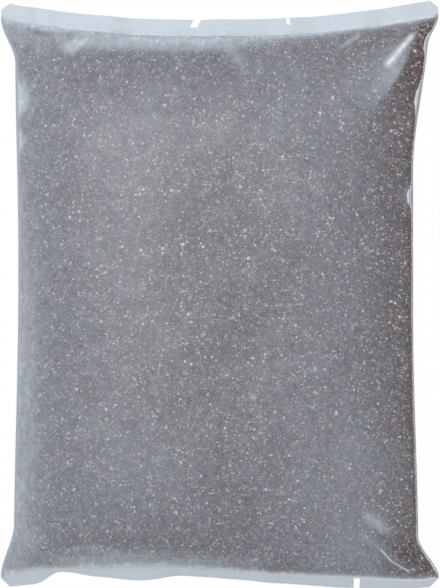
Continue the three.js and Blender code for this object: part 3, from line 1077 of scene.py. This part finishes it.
@dataclass
class GravelBed:
    """The outermost layer of grains, which lies against the film all round."""

    film: FilmBag
    pitch: float = 0.00165
    row_step: float = 0.0021
    row_share: float = 0.9
    stray: float = 0.33
    grain: float = 0.00096
    size_spread: float = 0.26
    stretch: tuple[float, float] = (0.75, 1.1)
    shade_spread: tuple[float, float] = (1.1, 1.6)
    form_count: int = 12
    film_gap: float = 0.00005
    depth_spread: float = 0.0004
    pocket_depth: float = 0.0010
    pocket_reach: float = 0.006
    slack_steps: tuple[float, float] = (0.011, 0.0045)
    slack_at_fold: tuple[tuple[float, float], ...] = ((-0.10, 0.8), (0.10, 0.3))
    heap_height: float = 0.001
    heap_spacing: tuple[float, float] = (0.019, 0.025)
    heap_drift: float = 0.35
    heap_drift_spacing: tuple[float, float] = (0.053, 0.061)
    thinnest: float = 0.0010
    thick_enough: float = 0.004
    room_at_weld: float = 0.0015
    room_from_weld: float = 0.8
    most_of_room: float = 0.46
    facing_down: float = -0.5
    share_below: float = 0.30
    growth_below: float = 1.5
    loop_steps: int = 700
    cluster_step: float = 0.0027
    clustering: float = 0.34
    pockets: tuple[Pocket, ...] = (
        Pocket(-0.1200, 0.1170, 0.0070, 0.0095, 0.0040),
        Pocket(-0.1030, 0.1600, 0.0100, 0.0040, 0.0020),
        Pocket(-0.0860, 0.1480, 0.0090, 0.0035, 0.0016),
        Pocket(-0.1190, 0.0920, 0.0045, 0.0050, 0.0026),
        Pocket(0.1140, 0.0590, 0.0045, 0.0050, 0.0034),
        Pocket(0.1262, 0.1510, 0.0030, 0.0045, 0.0030),
        Pocket(0.1200, 0.1170, 0.0030, 0.0080, 0.0026),
    )

    def dip(self, x: np.ndarray, y: np.ndarray) -> np.ndarray:
        """Depth of the dips between the gravel's heaps, as in its solid.

        Args:
            x: Places across the bag.
            y: Places along the bag.

        Returns:
            The depths.
        """
        drift_across = self.heap_drift * np.sin(2 * np.pi * y / self.heap_drift_spacing[1])
        drift_along = self.heap_drift * np.sin(2 * np.pi * x / self.heap_drift_spacing[0])
        across = np.sin(2 * np.pi * (x / self.heap_spacing[0] + drift_across))
        along = np.sin(2 * np.pi * (y / self.heap_spacing[1] + drift_along))
        return self.heap_height * (0.5 + 0.5 * across * along)

    def sink(self, x: np.ndarray, y: np.ndarray, from_weld: np.ndarray, from_fold: np.ndarray) -> np.ndarray:
        """Depth of the gravel's surface below the film, from place to place.

        Args:
            x: Places across the bag.
            y: Places along the bag.
            from_weld: Distances from the nearer weld.
            from_fold: Distances from the nearer fold.

        Returns:
            The depths.
        """
        noise = self.film.surface.noise
        broad, narrow = self.slack_steps
        slack = np.clip(noise.at(x + 5, y + 5, broad) + 0.5 * noise.at(x + 6, y + 6, narrow), 0, 1)
        weld = slack * fading(from_weld, self.pocket_reach)
        fold = slack * fading(from_fold, self.pocket_reach) * profile(self.slack_at_fold, x)
        inside = 1 - fading(np.minimum(from_weld, from_fold), self.pocket_reach)
        depth = self.pocket_depth * np.maximum(weld, fold) + self.dip(x, y) * inside
        for pocket in self.pockets:
            away = ((x - pocket.x) / pocket.across) ** 2 + ((y - pocket.y) / pocket.along) ** 2
            depth = depth + pocket.depth * np.exp(-away)
        return depth

    def _loops(self) -> dict[str, np.ndarray]:
        """Even steps round each row of the body, with the film's values at them.

        Returns:
            Each field's values along the loops, and under round each loop's length.
        """
        film = self.film
        rows = slice(film.surface.band_rows + 1, -(film.surface.band_rows + 1))
        columns = slice(1, -1)
        grid = film.grid
        single = {"thick": grid.top - grid.under, "from_weld": grid.from_weld, "from_fold": grid.from_fold}
        fields = {
            "place": [grid.points(level)[rows, columns] for level in Level],
            "out": [film.normals[level][rows, columns] for level in Level],
            **{key: [values[rows, columns][..., None]] * 2 for key, values in single.items()},
        }
        joined = {
            key: np.concatenate([above, below[:, ::-1], above[:, :1]], axis=1)
            for key, (above, below) in fields.items()
        }
        steps = np.linalg.norm(np.diff(joined["place"], axis=1), axis=-1)
        reach = np.concatenate([np.zeros((len(steps), 1)), np.cumsum(steps, axis=1)], axis=1)
        shares = np.linspace(0, 1, self.loop_steps)
        even = {}
        for key, loop in joined.items():
            even[key] = np.stack([
                np.stack([np.interp(shares * r[-1], r, column) for column in row.T], axis=-1)
                for r, row in zip(reach, loop)
            ])
        even["round"] = reach[:, -1]
        return even

    def scatter(self, rng: np.random.Generator) -> dict[str, np.ndarray]:
        """Spreads the grains' places over the body, about one pitch apart.

        Args:
            rng: Source of the random steps.

        Returns:
            For each grain its place on the film, outward direction, depth, room and tone.
        """
        loops = self._loops()
        between = np.linalg.norm(np.diff(loops["place"], axis=0), axis=-1).mean(axis=1)
        meridian = np.concatenate([[0.0], np.cumsum(between)])
        count = int(meridian[-1] / (self.pitch * self.row_share))
        row_at = np.interp(np.linspace(0, meridian[-1], count), meridian, np.arange(len(meridian)))
        rows, shares = [], []
        for k, row in enumerate(row_at):
            girth = np.interp(row, np.arange(len(loops["round"])), loops["round"])
            number = int(girth / self.pitch)
            sideways = rng.uniform(-self.stray, self.stray, number)
            lengthways = rng.uniform(-self.stray, self.stray, number) * self.pitch / self.row_step
            shares.append((np.arange(number) + 0.5 * (k % 2) + sideways) / number % 1.0)
            rows.append(np.clip(row + lengthways, 0, len(meridian) - 1.001))
        row, share = np.concatenate(rows), np.concatenate(shares) * (self.loop_steps - 1)
        r0, s0 = row.astype(int), share.astype(int)
        rt, st = (row - r0)[:, None], (share - s0)[:, None]
        spread = {}
        for key in ("place", "out", "thick", "from_weld", "from_fold"):
            loop = loops[key]
            near = loop[r0, s0] * (1 - st) + loop[r0, s0 + 1] * st
            far = loop[r0 + 1, s0] * (1 - st) + loop[r0 + 1, s0 + 1] * st
            spread[key] = near * (1 - rt) + far * rt
        spread["out"] /= np.linalg.norm(spread["out"], axis=1, keepdims=True)
        flat = {key: spread[key][:, 0] for key in ("thick", "from_weld", "from_fold")}
        x, y = spread["place"][:, 0], spread["place"][:, 1]
        sink = self.sink(x, y, flat["from_weld"], flat["from_fold"])
        seat = self.film.surface.shape.film_wall + self.film_gap
        weld_room = self.room_from_weld * flat["from_weld"] + self.room_at_weld
        beside = np.minimum(flat["thick"], weld_room) - 2 * (sink + seat)
        spare = (spread["out"][:, 2] < self.facing_down) & (rng.uniform(size=len(sink)) > self.share_below)
        fits = (beside > self.thinnest) & ~spare
        noise = self.film.surface.noise
        tone = noise.at(x + 9, y + 9, self.cluster_step) + 0.7 * noise.at(x + 8, y + 8, self.cluster_step / 2)
        deeper = rng.uniform(0, self.depth_spread, len(sink)) * np.clip(beside / self.thick_enough, 0, 1)
        return {
            "place": spread["place"][fits],
            "out": spread["out"][fits],
            "depth": (sink + seat + deeper)[fits],
            "room": beside[fits],
            "tone": self.clustering * tone[fits],
        }

    def build(self) -> dict[Stone, bpy.types.Object]:
        """Builds one piece of grains for each kind of stone.

        Returns:
            The pieces by their kind.
        """
        rng = np.random.default_rng(SEED)
        spots = self.scatter(rng)
        forms = GrainForms(self.form_count).forms
        kinds = list(Stone)
        shares = np.array([kind.value.share for kind in kinds])
        chosen = rng.choice(len(kinds), len(spots["place"]), p=shares / shares.sum())
        return {
            kind: self._grains(kind.value, spots, chosen == k, forms, rng)
            for k, kind in enumerate(kinds)
        }

    def _grains(
        self, kind: GrainKind, spots: dict[str, np.ndarray], chosen: np.ndarray,
        forms: Sequence[GrainForm], rng: np.random.Generator,
    ) -> bpy.types.Object:
        """Copies, turns and seats the grains of one kind.

        Args:
            kind: The kind of stone.
            spots: What scatter gives for all grains.
            chosen: Which of them are of this kind.
            forms: The forms to copy.
            rng: Source of the random turns and sizes.

        Returns:
            The new piece.
        """
        keys = ("place", "out", "depth", "room", "tone")
        place, out, depth, room, tone = (spots[key][chosen] for key in keys)
        form_of = rng.integers(0, len(forms), len(place))
        vertices, faces, shades, first = [], [], [], 0
        for k, form in enumerate(forms):
            own = form_of == k
            number = int(own.sum())
            size = self.grain * np.exp(rng.normal(0, self.size_spread, number))
            size = size * np.where(out[own][:, 2] < self.facing_down, self.growth_below, 1.0)
            size = np.minimum(size, self.most_of_room * room[own])
            scale = size[:, None] * rng.uniform(*self.stretch, (number, 3))
            scale[:, 2] *= kind.flatness
            turn = random_turns(rng, number)
            body = np.einsum("nij,nvj->nvi", turn, form.places[None] * scale[:, None])
            reach = np.einsum("nvi,ni->nv", body, out[own]).max(axis=1)
            middle = place[own] - out[own] * (depth[own] + reach)[:, None]
            vertices.append((body + middle[:, None]).reshape(-1, 3))
            offsets = first + np.arange(number) * len(form.places)
            faces.append((form.faces[None] + offsets[:, None, None]).reshape(-1, 3))
            shade = np.clip(rng.beta(*self.shade_spread, number) + tone[own], 0, 1)
            shades.append(np.repeat(shade, len(form.faces) * 3))
            first += number * len(form.places)
        vertex_rows = np.concatenate(vertices) + self.film.shift
        return grain_mesh(
            "gravel_" + kind.name, vertex_rows, np.concatenate(faces), np.concatenate(shades),
            forms, form_of,
        )


def random_turns(rng: np.random.Generator, number: int) -> np.ndarray:
    """Turning matrices in random directions.

    Args:
        rng: Source of the random directions.
        number: Number of turns.

    Returns:
        One matrix for each turn.
    """
    q = rng.normal(size=(number, 4))
    w, x, y, z = (q / np.linalg.norm(q, axis=1, keepdims=True)).T
    return np.stack([
        np.stack([1 - 2 * (y * y + z * z), 2 * (x * y - z * w), 2 * (x * z + y * w)], axis=-1),
        np.stack([2 * (x * y + z * w), 1 - 2 * (x * x + z * z), 2 * (y * z - x * w)], axis=-1),
        np.stack([2 * (x * z - y * w), 2 * (y * z + x * w), 1 - 2 * (x * x + y * y)], axis=-1),
    ], axis=1)


def grain_mesh(
    name: str, vertices: np.ndarray, faces: np.ndarray, shades: np.ndarray,
    forms: Sequence[GrainForm], form_of: np.ndarray,
) -> bpy.types.Object:
    """Makes one piece of many grains, each with a shade and a cell of its own in the flat map.

    Args:
        name: Name of the piece.
        vertices: Places of all vertices.
        faces: Vertex numbers of all triangles.
        shades: Shade of each triangle's corners.
        forms: The forms that the grains were copied from.
        form_of: Which form each grain has, in the order of the grains.

    Returns:
        The new piece.
    """
    mesh = bpy.data.meshes.new(name)
    mesh.vertices.add(len(vertices))
    mesh.vertices.foreach_set("co", vertices.ravel())
    mesh.loops.add(faces.size)
    mesh.loops.foreach_set("vertex_index", faces.ravel().astype(np.int32))
    mesh.polygons.add(len(faces))
    mesh.polygons.foreach_set("loop_start", np.arange(0, faces.size, 3, dtype=np.int32))
    mesh.update(calc_edges=True)
    shade = mesh.attributes.new("shade", "FLOAT", "CORNER")
    shade.data.foreach_set("value", shades.astype(np.float32))
    counts = [np.full(int((form_of == k).sum()), len(form.faces)) for k, form in enumerate(forms)]
    grain = np.repeat(np.arange(len(form_of)), np.concatenate(counts))
    cells = math.ceil(math.sqrt(len(form_of)))
    cell = np.stack([grain % cells, grain // cells], axis=-1)
    corner = np.array([[0.2, 0.2], [0.8, 0.2], [0.2, 0.8]])
    layer = mesh.uv_layers.new(name="OFBake")
    layer.data.foreach_set("uv", ((cell[:, None] + corner[None]) / cells).ravel())
    piece = bpy.data.objects.new(name, mesh)
    bpy.context.scene.collection.objects.link(piece)
    return piece


@dataclass
class GravelCore:
    """The gravel behind the outermost grains, as one dark closed mass."""

    bed: GravelBed
    depth: float = 0.0011
    rim_depth: float = 0.0005
    rim_reach: float = 0.003
    most_of_thickness: float = 0.42
    step: int = 2

    def build(self) -> bpy.types.Object:
        """Lofts the core inside the bed of grains.

        Returns:
            The core.
        """
        film = self.bed.film
        edge = film.surface.band_rows + 1
        rows, columns = slice(edge, -edge, self.step), slice(2, -2, self.step)
        grid = film.grid
        rim = fading(np.minimum(grid.from_weld, grid.from_fold), self.rim_reach)
        depth = self.bed.sink(grid.x, grid.y, grid.from_weld, grid.from_fold)
        depth = depth + self.depth + (self.rim_depth - self.depth) * rim
        depth = np.minimum(depth, self.most_of_thickness * (grid.top - grid.under))[..., None]
        sheets = [
            (grid.points(level) - film.normals[level] * depth)[rows, columns] + film.shift
            for level in Level
        ]
        core = LoftedSlab("gravel_core", *sheets).build()
        deselect_all()
        core.select_set(True)
        bpy.context.view_layer.objects.active = core
        bpy.ops.object.shade_smooth()
        return core


class Maths:
    """A socket of a material, on which Python's operators add the nodes of a sum."""

    def __init__(self, graph: "Graph", socket: bpy.types.NodeSocket) -> None:
        """Wraps a socket of a graph."""
        self.graph = graph
        self.socket = socket

    def _join(self, operation: str, first: Any, second: Any = None) -> "Maths":
        """Adds one Math node for an operation on one or two values."""
        inputs = {0: first} if second is None else {0: first, 1: second}
        return self.graph.value("ShaderNodeMath", {"operation": operation}, inputs)

    def __add__(self, other: Any) -> "Maths":
        """Sum."""
        return self._join("ADD", self, other)

    __radd__ = __add__

    def __sub__(self, other: Any) -> "Maths":
        """Difference."""
        return self._join("SUBTRACT", self, other)

    def __rsub__(self, other: Any) -> "Maths":
        """Difference from a number."""
        return self._join("SUBTRACT", other, self)

    def __mul__(self, other: Any) -> "Maths":
        """Product."""
        return self._join("MULTIPLY", self, other)

    __rmul__ = __mul__

    def __pow__(self, other: Any) -> "Maths":
        """Power."""
        return self._join("POWER", self, other)

    def clipped(self) -> "Maths":
        """The value held between 0 and 1."""
        return self.graph.value("ShaderNodeClamp", {}, {"Value": self})

    def size(self) -> "Maths":
        """The value without its sign."""
        return self._join("ABSOLUTE", self)

    def least(self, other: Any) -> "Maths":
        """The lesser of two values."""
        return self._join("MINIMUM", self, other)

    def most(self, other: Any) -> "Maths":
        """The greater of two values."""
        return self._join("MAXIMUM", self, other)


class Graph:
    """The nodes of one material."""

    def __init__(self, name: str) -> None:
        """Starts an empty material of that name.

        Args:
            name: Name of the material.
        """
        self.material = bpy.data.materials.new(name)
        self.material.use_nodes = True
        self.tree = self.material.node_tree
        self.tree.nodes.clear()
        self.output = self.tree.nodes.new("ShaderNodeOutputMaterial")

    def node(self, kind: str, settings: dict[str, Any], inputs: dict[Any, Any]) -> bpy.types.Node:
        """Adds a node.

        Args:
            kind: Type of the node.
            settings: Its settings, and under "stops" the stops of a ramp.
            inputs: Values or links of its sockets, by name or number.

        Returns:
            The new node.
        """
        node = self.tree.nodes.new(kind)
        for key, value in settings.items():
            if key == "stops":
                ramp = node.color_ramp
                while len(ramp.elements) < len(value):
                    ramp.elements.new(0.5)
                for element, (place, colour) in zip(ramp.elements, value):
                    element.position = place
                    element.color = (*colour, 1.0)
            else:
                setattr(node, key, value)
        for key, value in inputs.items():
            if isinstance(value, Maths):
                self.tree.links.new(value.socket, node.inputs[key])
            else:
                node.inputs[key].default_value = value
        return node

    def value(self, kind: str, settings: dict[str, Any], inputs: dict[Any, Any], output: Any = 0) -> Maths:
        """Adds a node and wraps one of its outputs."""
        return Maths(self, self.node(kind, settings, inputs).outputs[output])

    def place(self) -> Maths:
        """Object coordinates."""
        return self.value("ShaderNodeTexCoord", {}, {}, "Object")

    def vector(self, operation: str, inputs: dict[Any, Any], output: Any = 0) -> Maths:
        """Adds one Vector Math node."""
        return self.value("ShaderNodeVectorMath", {"operation": operation}, inputs, output)

    def noise(
        self, step: float, detail: float = 2.0, roughness: float = 0.5,
        stretch: tuple[float, float, float] = (1.0, 1.0, 1.0),
    ) -> Maths:
        """Smooth noise from 0 to 1.

        Args:
            step: Distance at which its features lie apart.
            detail: Number of finer layers.
            roughness: Strength of the finer layers.
            stretch: Factors on the coordinates along each axis.

        Returns:
            The noise.
        """
        place = self.vector("MULTIPLY", {0: self.place(), 1: stretch})
        inputs = {"Vector": place, "Scale": 1 / step, "Detail": detail, "Roughness": roughness}
        return self.value("ShaderNodeTexNoise", {}, inputs, 0)

    def attribute(self, name: str) -> Maths:
        """A value of the piece's own attribute."""
        return self.value("ShaderNodeAttribute", {"attribute_name": name}, {}, "Fac")

    def ramp(self, factor: Maths, stops: Sequence[tuple[float, tuple[float, float, float]]]) -> Maths:
        """Colour from a ramp of stops."""
        return self.value("ShaderNodeValToRGB", {"stops": stops}, {"Fac": factor})

    def blend(self, factor: Any, first: Any, second: Any, kind: str = "MIX") -> Maths:
        """Mix of two colours.

        Args:
            factor: Share of the second colour.
            first: First colour.
            second: Second colour.
            kind: Name of the blend.

        Returns:
            The mix.
        """
        settings = {"data_type": "RGBA", "blend_type": kind}
        colours = [c if isinstance(c, Maths) else (*c, 1.0) for c in (first, second)]
        return self.value("ShaderNodeMix", settings, {0: factor, 6: colours[0], 7: colours[1]}, 2)

    def bump(self, height: Maths, distance: float, strength: float = 1.0) -> Maths:
        """Normal raised by a height."""
        inputs = {"Height": height, "Distance": distance, "Strength": strength}
        return self.value("ShaderNodeBump", {}, inputs, "Normal")

    def principled(self, inputs: dict[str, Any]) -> bpy.types.Material:
        """Ends the material in one principled surface.

        Args:
            inputs: Values or links of the surface's sockets.

        Returns:
            The material.
        """
        surface = self.value("ShaderNodeBsdfPrincipled", {}, inputs, "BSDF")
        self.tree.links.new(surface.socket, self.output.inputs["Surface"])
        return self.material


@dataclass(frozen=True)
class FilmFinish:
    """Clear polyethylene with a slight milkiness and a soft gloss, with highlights painted along its creases
    and shade painted beside its folds.
    """

    shift: tuple[float, float, float]
    body: tuple[float, float, float] = (0.620, 0.722, 0.885)
    haze: tuple[float, float, float] = (0.655, 0.730, 0.828)
    weld: tuple[float, float, float] = (0.360, 0.470, 0.590)
    # Colour of the shade painted on the film beside the folds.
    fold: tuple[float, float, float] = (0.225, 0.218, 0.245)
    # Colour of the painted highlights.
    painted_highlight_colour: tuple[float, float, float] = (0.80, 0.85, 0.92)
    roughness: float = 0.36
    index: float = 2.0
    wisp_step: float = 0.0042
    dimple_step: float = 0.0017
    crinkle_step: float = 0.006
    ray_size: tuple[float, float, float] = (0.0034, 0.0085, 0.0085)
    drawn_size: tuple[float, float, float] = (0.0500, 0.0016, 0.0500)
    crinkle_depth: float = 0.00012
    haze_from: float = 0.15
    haze_rise: float = 5.0
    wisp_strength: float = 0.75
    ray_strength: float = 2.3
    wrinkle_strength: float = 0.4
    wrinkle_sharpness: float = 26.0
    drawn_strength: float = 0.14
    # Painted highlights: fine pale streaks along the creases, each with its path, breadth and strength.
    highlight_strokes: tuple[HighlightStroke, ...] = (
        HighlightStroke(((0.1005, 0.1378), (0.1085, 0.1475)), 0.0040, 0.62),
        HighlightStroke(((0.1070, 0.1458), (0.1145, 0.1545)), 0.0028, 0.95),
        HighlightStroke(((0.1120, 0.1518), (0.1178, 0.1576)), 0.0010, 0.60),
        HighlightStroke(((0.0958, -0.1516), (0.1030, -0.1594), (0.1128, -0.1652)), 0.0010, 1.00),
        HighlightStroke(((0.0852, -0.1435), (0.0958, -0.1516)), 0.0022, 0.20),
        HighlightStroke(((0.0740, 0.1492), (0.0830, 0.1570)), 0.0024, 0.16),
        HighlightStroke(((-0.1280, -0.1692), (-0.1100, -0.1664)), 0.0010, 0.40),
    )

    def _highlight_stroke(self, graph: Graph, flat: Maths, stroke: HighlightStroke) -> Maths:
        """Strength of one fine painted highlight line at the place being rendered.

        Args:
            graph: Material that the line is drawn in.
            flat: Place in the bag's plan.
            stroke: The line.

        Returns:
            The strength, from 0 to 1.
        """
        away = None
        for start, stop in zip(stroke.path[:-1], stroke.path[1:]):
            begin = Vector((start[0] + self.shift[0], start[1] + self.shift[1], 0.0))
            run = Vector((stop[0] - start[0], stop[1] - start[1], 0.0))
            here = graph.vector("SUBTRACT", {0: flat, 1: begin})
            along = graph.vector("DOT_PRODUCT", {0: here, 1: run / run.length_squared}, "Value").clipped()
            nearest = graph.vector("SCALE", {0: run, "Scale": along})
            apart = graph.vector("DISTANCE", {0: here, 1: nearest}, "Value")
            away = apart if away is None else away.least(apart)
        return stroke.strength * (1.0 - away * (1 / stroke.breadth)).clipped() ** 1.1

    def material(self) -> bpy.types.Material:
        """The film's material.

        Returns:
            The material.
        """
        graph = Graph("clear_film")
        welded = graph.attribute("sealed")
        slack = graph.attribute("slack")
        flat = graph.vector("MULTIPLY", {0: graph.place(), 1: (1.0, 1.0, 0.0)})
        highlight_lines = None
        for stroke in self.highlight_strokes:
            line = self._highlight_stroke(graph, flat, stroke)
            highlight_lines = line if highlight_lines is None else highlight_lines.most(line)
        highlight_lines = highlight_lines * graph.attribute("top")
        # Painted highlights: those of the creases and patches, with the painted streaks.
        gleam = (graph.attribute("gleam") + highlight_lines).clipped()
        wisp = graph.noise(self.wisp_step, 2.0, 0.65)
        dimple = graph.noise(self.dimple_step, 0.0)
        crinkle = graph.noise(self.crinkle_step, 1.0)
        rays = graph.noise(1.0, 2.0, 0.65, tuple(1 / size for size in self.ray_size))
        drawn = graph.noise(1.0, 1.0, 0.5, tuple(1 / size for size in self.drawn_size))
        veil = graph.attribute("veil")
        hazy = ((veil - self.haze_from) * self.haze_rise).clipped()
        plain = graph.blend(hazy, self.body, self.haze)
        plain = graph.blend(welded, plain, self.weld)
        # Painted shade: beside the folds the film is darkened towards the fold colour, more at the right.
        plain = graph.blend(graph.attribute("shaded"), plain, self.fold)
        # Painted highlight: the film is turned pale where the highlight is painted.
        colour = graph.blend((gleam * (0.75 + 0.5 * wisp)).clipped(), plain, self.painted_highlight_colour)
        loose = 1.0 - welded
        wrinkle = (slack * (1.0 - self.wrinkle_sharpness * (rays - 0.5).size())).clipped()
        rayed = self.ray_strength * (rays - 0.5) - self.wrinkle_strength * wrinkle
        ruffle = loose * (self.wisp_strength * (wisp - 0.5) + slack * rayed)
        ruffle = 1.0 + ruffle + self.drawn_strength * welded * (drawn - 0.5)
        # The painted highlights also make the film more opaque.
        alpha = (veil * ruffle + 0.35 * gleam * wisp + 0.45 * highlight_lines).clipped()
        rough = self.roughness + 0.12 * (wisp - 0.5) + 0.26 * welded
        height = loose * (0.4 * dimple + crinkle * (1.0 + slack))
        return graph.principled({
            "Base Color": colour,
            "Roughness": rough,
            "IOR": self.index,
            "Alpha": alpha,
            "Normal": graph.bump(height, self.crinkle_depth, 0.7),
        })


@dataclass(frozen=True)
class StoneFinish:
    """Dry broken stone of one kind, each grain with a shade of its own."""

    kind: GrainKind
    speck_step: float = 0.0005
    speck_strength: float = 0.35
    gloss: float = 0.25

    def material(self) -> bpy.types.Material:
        """The stone's material.

        Returns:
            The material.
        """
        graph = Graph(self.kind.name)
        shade = graph.attribute("shade")
        speck = graph.noise(self.speck_step, 2.0, 0.6)
        mixed = (shade + self.speck_strength * (speck - 0.5)).clipped()
        colour = graph.ramp(mixed, ((0.0, self.kind.dark), (1.0, self.kind.light)))
        return graph.principled({
            "Base Color": colour,
            "Roughness": self.kind.roughness,
            "Specular IOR Level": self.gloss,
        })


@dataclass(frozen=True)
class CoreFinish:
    """The gravel between and behind the outermost grains, coloured darker than the grains as painted shade.
    """

    step: float = 0.0016
    roughness: float = 0.9
    pebble_depth: float = 0.0006
    # Colours darker than the grains': painted shade of the gravel deeper in the bed.
    stops: tuple[tuple[float, tuple[float, float, float]], ...] = (
        (0.0, (0.042, 0.027, 0.024)), (0.6, (0.090, 0.056, 0.047)), (1.0, (0.150, 0.098, 0.078)),
    )

    def material(self) -> bpy.types.Material:
        """The core's material.

        Returns:
            The material.
        """
        graph = Graph("gravel_with_painted_shade")
        cells = {"Vector": graph.place(), "Scale": 1 / self.step}
        pebble = graph.value("ShaderNodeTexVoronoi", {}, cells, "Color")
        tone = graph.value("ShaderNodeSeparateColor", {}, {0: pebble}, 0)
        depth = graph.value("ShaderNodeTexVoronoi", {}, cells, "Distance")
        return graph.principled({
            "Base Color": graph.ramp(tone, self.stops),
            "Roughness": self.roughness,
            "Normal": graph.bump(1.0 - depth, self.pebble_depth, 0.8),
        })


@dataclass(frozen=True)
class Studio:
    """The pale floor, the soft light and the camera over the bag."""

    frame_pixels: tuple[int, int] = (440, 588)
    pixel: float = 0.0006
    middle_pixel: tuple[float, float] = (219.75, 295.0)
    outline_height: float = 0.020
    camera_height: float = 1.45
    sensor: float = 24.0
    daylight: float = 0.54
    box_place: tuple[float, float, float] = (-0.25, 0.34, 1.40)
    box_size: float = 0.9
    box_power: float = 11.5
    floor_glow: float = 0.98
    floor_tone: float = 0.92
    floor_size: float = 6.0
    nearest: float = 0.05

    def floor(self) -> bpy.types.Object:
        """Adds the pale floor, which shows white and keeps the bag's shadow.

        Returns:
            The floor.
        """
        deselect_all()
        bpy.ops.mesh.primitive_plane_add(size=self.floor_size)
        floor = bpy.context.object
        floor.name = "floor"
        graph = Graph("pale_floor")
        tone = (self.floor_tone, self.floor_tone, self.floor_tone, 1.0)
        diffuse = graph.value("ShaderNodeBsdfDiffuse", {}, {"Color": tone}, 0)
        glow = graph.value("ShaderNodeEmission", {}, {"Color": (1.0, 1.0, 1.0, 1.0), "Strength": 1.0}, 0)
        path = graph.node("ShaderNodeLightPath", {}, {})
        seen = Maths(graph, path.outputs["Is Camera Ray"]) + Maths(graph, path.outputs["Is Glossy Ray"])
        seen = seen + Maths(graph, path.outputs["Is Transmission Ray"])
        shown = (seen * self.floor_glow).clipped()
        mixed = graph.value("ShaderNodeMixShader", {}, {0: shown, 1: diffuse, 2: glow}, 0)
        graph.tree.links.new(mixed.socket, graph.output.inputs["Surface"])
        floor.data.materials.append(graph.material)
        return floor

    def light(self) -> None:
        """Sets the daylight and adds the soft box."""
        scene = bpy.context.scene
        world = bpy.data.worlds.new("daylight")
        world.use_nodes = True
        background = world.node_tree.nodes["Background"]
        background.inputs["Color"].default_value = (1.0, 1.0, 1.0, 1.0)
        background.inputs["Strength"].default_value = self.daylight
        scene.world = world
        lamp = bpy.data.lights.new("soft_box", "AREA")
        lamp.shape = "SQUARE"
        lamp.size = self.box_size
        lamp.energy = self.box_power
        box = bpy.data.objects.new("soft_box", lamp)
        box.location = self.box_place
        box.rotation_euler = (-Vector(self.box_place)).to_track_quat("-Z", "Y").to_euler()
        scene.collection.objects.link(box)

    def camera(self, shift: np.ndarray) -> bpy.types.Object:
        """Adds the camera straight above the bag, framed as the photograph is.

        Args:
            shift: Shift from the modelled bag to the shared frame.

        Returns:
            The camera.
        """
        data = bpy.data.cameras.new("overhead")
        camera = bpy.data.objects.new("overhead", data)
        data.sensor_fit = "VERTICAL"
        data.sensor_height = self.sensor
        across, along = self.frame_pixels
        data.lens = self.sensor * (self.camera_height - self.outline_height) / (along * self.pixel)
        x = (across / 2 - self.middle_pixel[0]) * self.pixel + shift[0]
        y = (self.middle_pixel[1] - along / 2) * self.pixel + shift[1]
        camera.location = (x, y, self.camera_height)
        camera.rotation_euler = (0.0, 0.0, 0.0)
        data.clip_start = self.nearest
        bpy.context.scene.collection.objects.link(camera)
        bpy.context.scene.camera = camera
        return camera


def settle(piece: bpy.types.Object, material: bpy.types.Material) -> None:
    """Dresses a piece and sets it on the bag's body.

    Args:
        piece: Piece to dress.
        material: Its finish.
    """
    piece.data.materials.clear()
    piece.data.materials.append(material)
    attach(piece, "root")
    LOG.info("%s: %d vertices", piece.name, len(piece.data.vertices))


def main() -> None:
    """Builds the bag, its gravel and the studio, and reports each piece."""
    logging.basicConfig(level=logging.INFO, format="%(message)s")
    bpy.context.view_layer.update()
    bpy.context.scene.view_settings.view_transform = "Standard"

    bag = FilmBag(FilmSurface(BagShape()))
    film = bag.build()
    settle(film, FilmFinish(tuple(bag.shift)).material())
    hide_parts("film_bag")

    bed = GravelBed(bag)
    for kind, grains in bed.build().items():
        settle(grains, StoneFinish(kind.value).material())
    core = GravelCore(bed).build()
    settle(core, CoreFinish().material())
    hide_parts("gravel_fill")

    studio = Studio()
    studio.floor()
    studio.light()
    studio.camera(bag.shift)


main()
